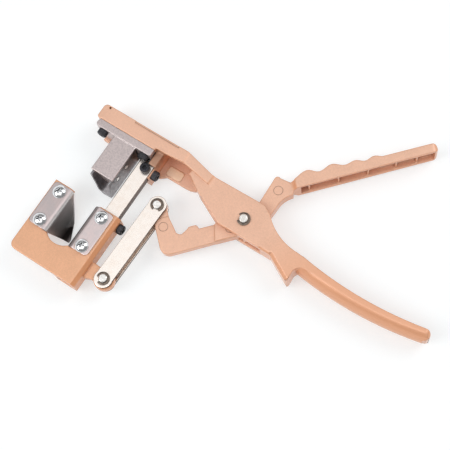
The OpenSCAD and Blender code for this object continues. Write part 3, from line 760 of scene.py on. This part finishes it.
class CUTTER_OT_pocket_pad(bpy.types.Operator):
    """Low pad cast on the floor of the pocket under the neck, in lighter paint that stands for the light it
    catches
    """

    bl_idname = "cutter.pocket_pad"
    bl_label = "Pocket Pad"

    def execute(self, context):
        left, right, low, high, corner = -69.6, -57, 2.6, 10, 1.6
        sunk, proud = -8.3 * MM, -7.45 * MM
        centres = ((right - corner, high - corner), (left + corner, high - corner),
                   (left + corner, low + corner), (right - corner, low + corner))
        outline = []
        for turn, (x, y) in enumerate(centres):
            for a in (math.radians(90 * turn + 15 * i) for i in range(7)):
                p = about_pivot(x + corner * math.cos(a), y + corner * math.sin(a), 0)
                outline.append((p.x, p.y))
        pad = prism("frame_pocket_pad", outline, PIVOT.z + sunk, PIVOT.z + proud)
        # The pad takes the lighter paint, which is painted light
        finished(pad, "frame", "painted_casting", "pad_paint")
        return {"FINISHED"}


class CUTTER_OT_ledge_shade_line(bpy.types.Operator):
    """Thin dark strip at the foot of the ledge along the head's top, as painted shade for the ledge's step
    """

    bl_idname = "cutter.ledge_bead"
    bl_label = "Ledge Shade Line"

    def execute(self, context):
        left, right, foot, top, wide = -103, -66, 18.8, 20.2, 0.45
        sunk, proud = 10.2 * MM, 10.52 * MM
        corners = [about_pivot(x, y, 0) for x, y in (
            (left, top), (left + wide, top), (left + wide, foot + wide), (right - wide, foot + wide),
            (right - wide, top), (right, top), (right, foot), (left, foot))]
        outline = [(p.x, p.y) for p in corners]
        shade_strip = prism("frame_ledge_bead", outline, PIVOT.z + sunk, PIVOT.z + proud)
        # The strip's dark paint is painted shade at the foot of the ledge
        finished(shade_strip, "frame", "painted_casting", "mark_paint")
        return {"FINISHED"}


class CUTTER_OT_ejector_marks(bpy.types.Operator):
    """Ring marks of the ejector pins on the lever's front"""

    bl_idname = "cutter.ejector_marks"
    bl_label = "Ejector Marks"

    def execute(self, context):
        r = context.scene.cutter_screws.mark_r
        sunk, proud = -0.2 * MM, 0.14 * MM
        ring = spun_ring("ejector_ring", [
            (r - 0.5 * MM, sunk), (r - 0.4 * MM, proud), (r - 0.1 * MM, proud), (r, sunk)])
        arm_face, hub_face = 2.9, 4.3
        spots = ((-45.2, -32.2, arm_face), (7.8, 30.5, hub_face), (-5.5, -9.2, hub_face))
        places = [(about_pivot(*spot), Z, 0) for spot in spots]
        marks = repeated("lever_ejector_marks", ring, places, "mark_paint")
        finished(marks, "lever", "painted_casting", "mark_paint")
        bpy.data.objects.remove(ring)
        return {"FINISHED"}


def spun_ring(name, profile, steps=64):
    """A closed ring from a closed outline of (radius, height) points turned about Z."""
    bm = bmesh.new()
    rings = []
    for i in range(steps):
        a = 2 * math.pi * i / steps
        rings.append([bm.verts.new((r * math.cos(a), r * math.sin(a), h)) for r, h in profile])
    for i in range(steps):
        one, two = rings[i], rings[(i + 1) % steps]
        for k in range(len(profile)):
            m = (k + 1) % len(profile)
            bm.faces.new((one[k], two[k], two[m], one[m]))
    return closed(name, bm)


class CUTTER_OT_cutter(bpy.types.Operator):
    """Ground block, folded blade and its rivets"""

    bl_idname = "cutter.cutter"
    bl_label = "Block and Blade"

    def execute(self, context):
        edge = context.scene.cutter_steel.edge
        block = rounded_copy("cutter_block", "cutter_block_ground", 2 * edge)
        finished(block, "frame", "ground_steel", "block_steel", "cutter_block")
        blade = rounded_copy("v_blade", "v_blade_folded", 0.6 * edge, 2)
        finished(blade, "frame", "blade_steel", "blade_steel", "v_blade")
        dressed("blade_rivets", "pin_steel")
        return {"FINISHED"}


class CUTTER_OT_jaws(bpy.types.Operator):
    """Bent jaw plates with soft edges"""

    bl_idname = "cutter.jaws"
    bl_label = "Jaw Plates"

    def execute(self, context):
        edge = context.scene.cutter_steel.edge
        # The right plate takes the lighter copy of the jaw steel, which is painted light
        for node, finish in (("left_jaw_plate", "jaw_steel"), ("right_jaw_plate", "bright_jaw")):
            finished(rounded_copy(node, node + "_satin", edge), "anvil", "jaw_steel", finish, node)
        return {"FINISHED"}


class CUTTER_OT_bar_and_links(bpy.types.Operator):
    """Plated guide bar and link straps"""

    bl_idname = "cutter.bar_and_links"
    bl_label = "Guide Bar and Links"

    def execute(self, context):
        edge = context.scene.cutter_steel.edge
        for node, body, width in (
                ("guide_bar", "frame", 0.5 * edge),
                ("front_link", "link", edge),
                ("rear_link", "link", edge)):
            finished(rounded_copy(node, node + "_plated", width), body, "plated_steel", "nickel_plate", node)
        return {"FINISHED"}


class CUTTER_OT_pins(bpy.types.Operator):
    """Turned pins, and the bearings inside the castings"""

    bl_idname = "cutter.pins"
    bl_label = "Pins and Bearings"

    def execute(self, context):
        for node in ("pivot_pin", "upper_link_pin", "lower_link_pin"):
            dressed(node, "pin_steel")
        for node in ("pivot_bush", "gib_pad"):
            dressed(node, "bearing_bronze")
        return {"FINISHED"}


class CUTTER_OT_clips(bpy.types.Operator):
    """Open spring clips on both ends of the pins"""

    bl_idname = "cutter.clips"
    bl_label = "Retaining Clips"

    def execute(self, context):
        outer = context.scene.cutter_screws.clip_r
        thick = 0.8 * MM
        half_mouth = 29
        steps = 72
        angles = [half_mouth + (360 - 2 * half_mouth) * i / steps for i in range(steps + 1)]
        inner, gap = 2.56 * MM, 0.55 * MM
        rise = lambda away, spread: 1 - math.exp(-(away / spread) ** 2)
        prong = lambda a: inner + gap * rise(a - 180, 30) * rise(abs(a - 180) - 125, 18)
        at = lambda r, a: (r * math.cos(math.radians(a)), r * math.sin(math.radians(a)))
        rim = [at(outer, a) for a in angles]
        bore = [at(prong(a), a) for a in reversed(angles)]
        clip = prism("spring_clip", rim + bore, -thick / 2, thick / 2)
        bevel = clip.modifiers.new("Edges", "BEVEL")
        bevel.width = 0.12 * MM
        bevel.segments = 2
        bevel.limit_method = "ANGLE"
        bevel.angle_limit = math.radians(40)
        clip.data = plain_mesh(clip, "spring_clip")
        clip.modifiers.clear()
        pivot, upper, lower = (centre(n) for n in ("pivot_pin", "upper_link_pin", "lower_link_pin"))
        front = lambda node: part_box(node)[1].z - thick / 2
        high, link = front("pivot_clips"), front("link_clips")
        both = lambda p, z, spin: [(Vector((p.x, p.y, h)), Z, spin) for h in (z, 2 * PIVOT.z - z)]
        for node, body, places in (
                ("pivot_clips", "frame", both(pivot, high, 195)),
                ("link_clips", "link", both(upper, link, -75) + both(lower, link, -140))):
            clips = repeated(node + "_sprung", clip, places, "clip_steel")
            finished(clips, body, "clip_steel", "clip_steel", node)
        bpy.data.objects.remove(clip)
        return {"FINISHED"}


def cap_screw(screws, shank):
    """A knurled socket screw, seat at nought, head along Z."""
    r, h, rim, thread, tip = screws.cap_r, screws.cap_h, 0.4 * MM, 2 * MM, 0.3 * MM
    wall = r - 0.1 * MM
    screw = spun("cap_screw", [
        (0, -shank), (thread - tip, -shank), (thread, -shank + tip), (thread, 0), (r - 0.25 * MM, 0),
        (wall, 0.15 * MM), (wall, h - rim), (r - rim, h - 0.05 * MM), (r - rim - 0.1 * MM, h), (0, h)], 48)
    corners = [math.radians(a) for a in range(30, 390, 60)]
    hexagon = [(screws.socket * math.cos(a), screws.socket * math.sin(a)) for a in corners]
    carve(screw, prism("socket", hexagon, h - 2 * MM, h + 1 * MM))
    holder = linked("knurl", bpy.data.meshes.new("knurl"))
    height = h - rim - 0.35 * MM
    knurl_tree().run(holder, Teeth=screws.teeth, Radius=r - 0.16 * MM, Height=height, Ridge=0.34 * MM,
                     Finish=Finishes.get("black_oxide"))
    holder.data.transform(Matrix.Translation((0, 0, 0.2 * MM + height / 2)))
    joined(screw, holder)
    return screw


class CUTTER_OT_cap_screws(bpy.types.Operator):
    """Knurled black socket screws"""

    bl_idname = "cutter.cap_screws"
    bl_label = "Socket Screws"

    def execute(self, context):
        screws = context.scene.cutter_screws
        r, h = screws.cap_r, screws.cap_h
        low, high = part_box("flange_screws")
        side, gib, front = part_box("bar_side_screw"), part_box("gib_screw"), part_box("bar_front_screw")
        mid = lambda b: (b[0] + b[1]) / 2
        seats = (
            ("flange_screws", "frame", high.y - low.y - h,
             [(Vector((x, low.y + h, mid((low, high)).z)), -Y, 20) for x in (low.x + r, high.x - r)]),
            ("bar_front_screw", "frame", front[1].z - front[0].z - h,
             [(Vector((mid(front).x, mid(front).y, front[1].z - h)), Z, 10)]),
            ("bar_side_screw", "frame", side[1].x - side[0].x - h,
             [(Vector((side[1].x - h, mid(side).y, mid(side).z)), X, 0)]),
            ("gib_screw", "anvil", gib[1].x - gib[0].x - h,
             [(Vector((gib[1].x - h, mid(gib).y, mid(gib).z)), X, 15)]),
        )
        for node, body, shank, places in seats:
            shape = cap_screw(screws, shank)
            copies = repeated(node + "_knurled", shape, places, "black_oxide")
            finished(copies, body, "black_screw", "black_oxide", node)
            bpy.data.objects.remove(shape)
        return {"FINISHED"}


class CUTTER_OT_pan_screws(bpy.types.Operator):
    """Cross-head screws that hold the jaw plates"""

    bl_idname = "cutter.pan_screws"
    bl_label = "Jaw Screws"

    def execute(self, context):
        screws = context.scene.cutter_screws
        r, h, shank = screws.pan_r, screws.pan_h, 4 * MM
        rise = 0.55 * MM
        ball = (r * r + (h - rise) ** 2) / (2 * (h - rise))
        top = math.asin(r / ball)
        thread, rings, foot_share = 2 * MM, 10, 0.45
        slants = [top * (1 - i / rings) for i in range(rings)]
        dome = [(ball * math.sin(t), h - ball + ball * math.cos(t)) for t in slants]
        profile = [
            (0, -shank), (thread, -shank), (thread, 0), (r - 0.2 * MM, 0), (r, 0.15 * MM), *dome, (0, h)]
        screw = spun("pan_screw", profile, 64)
        wide, reach = screws.cross / 2, 2.5 * MM
        points = []
        for a in (0, 90, 180, 270):
            turn = Matrix.Rotation(math.radians(a), 2)
            for p in ((reach, -wide * 0.75), (reach, wide * 0.75), (wide * 1.2, wide * 1.2)):
                q = turn @ Vector(p)
                points.append((q.x * foot_share, q.y * foot_share))
        carve(screw, prism("cross", points, h - 2 * MM, h + 0.25 * MM, 1 / foot_share))
        low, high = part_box("jaw_screws")
        seat = high.z - h
        left, right, lower, upper = low.x + r, high.x - r, low.y + r, high.y - r
        places = [(Vector((x, y, seat)), Z, spin) for x, y, spin in (
            (left, upper, 20), (left, lower, 52), (right, upper, 35), (right, lower, 12))]
        copies = repeated("jaw_screws_cross_head", screw, places, "zinc_plate")
        finished(copies, "anvil", "zinc_screw", "zinc_plate", "jaw_screws")
        bpy.data.objects.remove(screw)
        return {"FINISHED"}


def soft_light(name, watts, size, place, aim):
    """A square lamp at a place, turned to an aim."""
    lamp = bpy.data.lights.new(name, "AREA")
    lamp.energy = watts
    lamp.size = size
    turn = (aim - place).to_track_quat("-Z", "Y").to_matrix().to_4x4()
    linked(name, lamp).matrix_world = Matrix.Translation(place) @ turn


def seen_directly(tree):
    """One for rays from the camera, or by a mirror or through glass, nought for light."""
    path = tree.nodes.new("ShaderNodeLightPath")
    total = path.outputs["Is Camera Ray"]
    for label in ("Is Glossy Ray", "Is Transmission Ray"):
        most = tree.nodes.new("ShaderNodeMath")
        most.operation = "MAXIMUM"
        tree.links.new(total, most.inputs[0])
        tree.links.new(path.outputs[label], most.inputs[1])
        total = most.outputs[0]
    return total


class CUTTER_OT_stage(bpy.types.Operator):
    """White floor, soft studio light and the camera"""

    bl_idname = "cutter.stage"
    bl_label = "Stage"

    def execute(self, context):
        scene, stage = context.scene, context.scene.cutter_stage
        scene.view_settings.view_transform = "Standard"
        bm = bmesh.new()
        bmesh.ops.create_grid(bm, x_segments=1, y_segments=1, size=4)
        mesh = bpy.data.meshes.new("floor")
        bm.to_mesh(mesh)
        bm.free()
        floor = linked("floor", mesh)
        paper = bpy.data.materials.new("white_paper")
        paper.use_nodes = True
        nodes, links = paper.node_tree.nodes, paper.node_tree.links
        nodes.remove(nodes["Principled BSDF"])
        matt, shade = nodes.new("ShaderNodeBsdfDiffuse"), nodes.new("ShaderNodeBsdfDiffuse")
        kinds = ("Emission", "AddShader", "MixShader")
        glow, seen, choice = (nodes.new("ShaderNode" + kind) for kind in kinds)
        matt.inputs["Color"].default_value = (*stage.floor, 1)
        shade.inputs["Color"].default_value = (*stage.seen, 1)
        glow.inputs["Strength"].default_value = stage.glow
        links.new(shade.outputs[0], seen.inputs[0])
        links.new(glow.outputs[0], seen.inputs[1])
        links.new(seen_directly(paper.node_tree), choice.inputs[0])
        links.new(matt.outputs[0], choice.inputs[1])
        links.new(seen.outputs[0], choice.inputs[2])
        links.new(choice.outputs[0], nodes["Material Output"].inputs["Surface"])
        mesh.materials.append(paper)

        world = bpy.data.worlds.new("room")
        world.use_nodes = True
        scene.world = world
        back = world.node_tree.nodes["Background"]
        back.inputs["Color"].default_value = (1, 1, 1, 1)
        nodes, links = world.node_tree.nodes, world.node_tree.links
        split = nodes.new("ShaderNodeSeparateXYZ")
        links.new(nodes.new("ShaderNodeTexCoord").outputs["Generated"], split.inputs[0])
        bands = nodes.new("ShaderNodeValToRGB")
        # White at the horizon and overhead, with darker walls between for bright metal to mirror
        walls = 0.3
        for place, value in ((0.2, 1.0), (0.36, walls), (0.78, walls), (0.88, 1.0)):
            stop = bands.color_ramp.elements.new(place)
            stop.color = (value, value, value, 1)
        bands.color_ramp.elements[0].color = (1, 1, 1, 1)
        bands.color_ramp.elements[-1].color = (1, 1, 1, 1)
        links.new(split.outputs["Z"], bands.inputs["Fac"])
        level = nodes.new("ShaderNodeMix")
        level.inputs[2].default_value = stage.room
        links.new(seen_directly(world.node_tree), level.inputs[0])
        links.new(bands.outputs["Color"], level.inputs[3])
        links.new(level.outputs[0], back.inputs["Strength"])

        aim = about_pivot(-20, -10, 0)
        soft_light("key_light", stage.key, 0.8, about_pivot(560, 900, 920), aim)
        soft_light("fill_light", stage.fill, 0.8, about_pivot(-620, -800, 980), aim)
        soft_light("front_light", stage.front, 1.2, about_pivot(250, -450, 1500), aim)

        lens = bpy.data.cameras.new("camera")
        lens.lens = 92.0
        lens.sensor_width = 36
        camera = linked("camera", lens)
        right = Vector((0.8285, 0.5509, -0.1006))
        up = Vector((-0.5001, 0.8087, 0.3096))
        out = Vector((0.2519, -0.2062, 0.9455))
        turn = Matrix((right, up, out)).transposed().to_4x4()
        camera.matrix_world = Matrix.Translation(about_pivot(186.3, -169.5, 739.4)) @ turn
        scene.camera = camera
        return {"FINISHED"}


OPERATORS = (
    CUTTER_OT_castings, CUTTER_OT_pocket_pad, CUTTER_OT_ledge_shade_line, CUTTER_OT_ejector_marks,
    CUTTER_OT_cutter, CUTTER_OT_jaws, CUTTER_OT_bar_and_links, CUTTER_OT_pins, CUTTER_OT_clips,
    CUTTER_OT_cap_screws, CUTTER_OT_pan_screws, CUTTER_OT_stage)
GROUPS = {
    "cutter_paint": PaintSettings, "cutter_steel": SteelSettings,
    "cutter_screws": ScrewSettings, "cutter_stage": StageSettings}


class CUTTER_PT_panel(bpy.types.Panel):
    """Lists the cutter's pieces"""

    bl_idname = "CUTTER_PT_panel"
    bl_label = "Grafting Cutter"
    bl_space_type = "VIEW_3D"
    bl_region_type = "UI"
    bl_category = "Cutter"

    def draw(self, context):
        for operator in OPERATORS:
            self.layout.operator(operator.bl_idname)
        for name in GROUPS:
            group = getattr(context.scene, name)
            column = self.layout.column()
            for label in group.__annotations__:
                column.prop(group, label)


def register():
    for cls in (*GROUPS.values(), *OPERATORS, CUTTER_PT_panel):
        bpy.utils.register_class(cls)
    for label, group in GROUPS.items():
        setattr(bpy.types.Scene, label, PointerProperty(type=group))


def unregister():
    for label in GROUPS:
        delattr(bpy.types.Scene, label)
    for cls in reversed((*GROUPS.values(), *OPERATORS, CUTTER_PT_panel)):
        bpy.utils.unregister_class(cls)


def main():
    register()
    for operator in OPERATORS:
        space, label = operator.bl_idname.split(".")
        getattr(getattr(bpy.ops, space), label)()


if __name__ == "__main__":
    main()
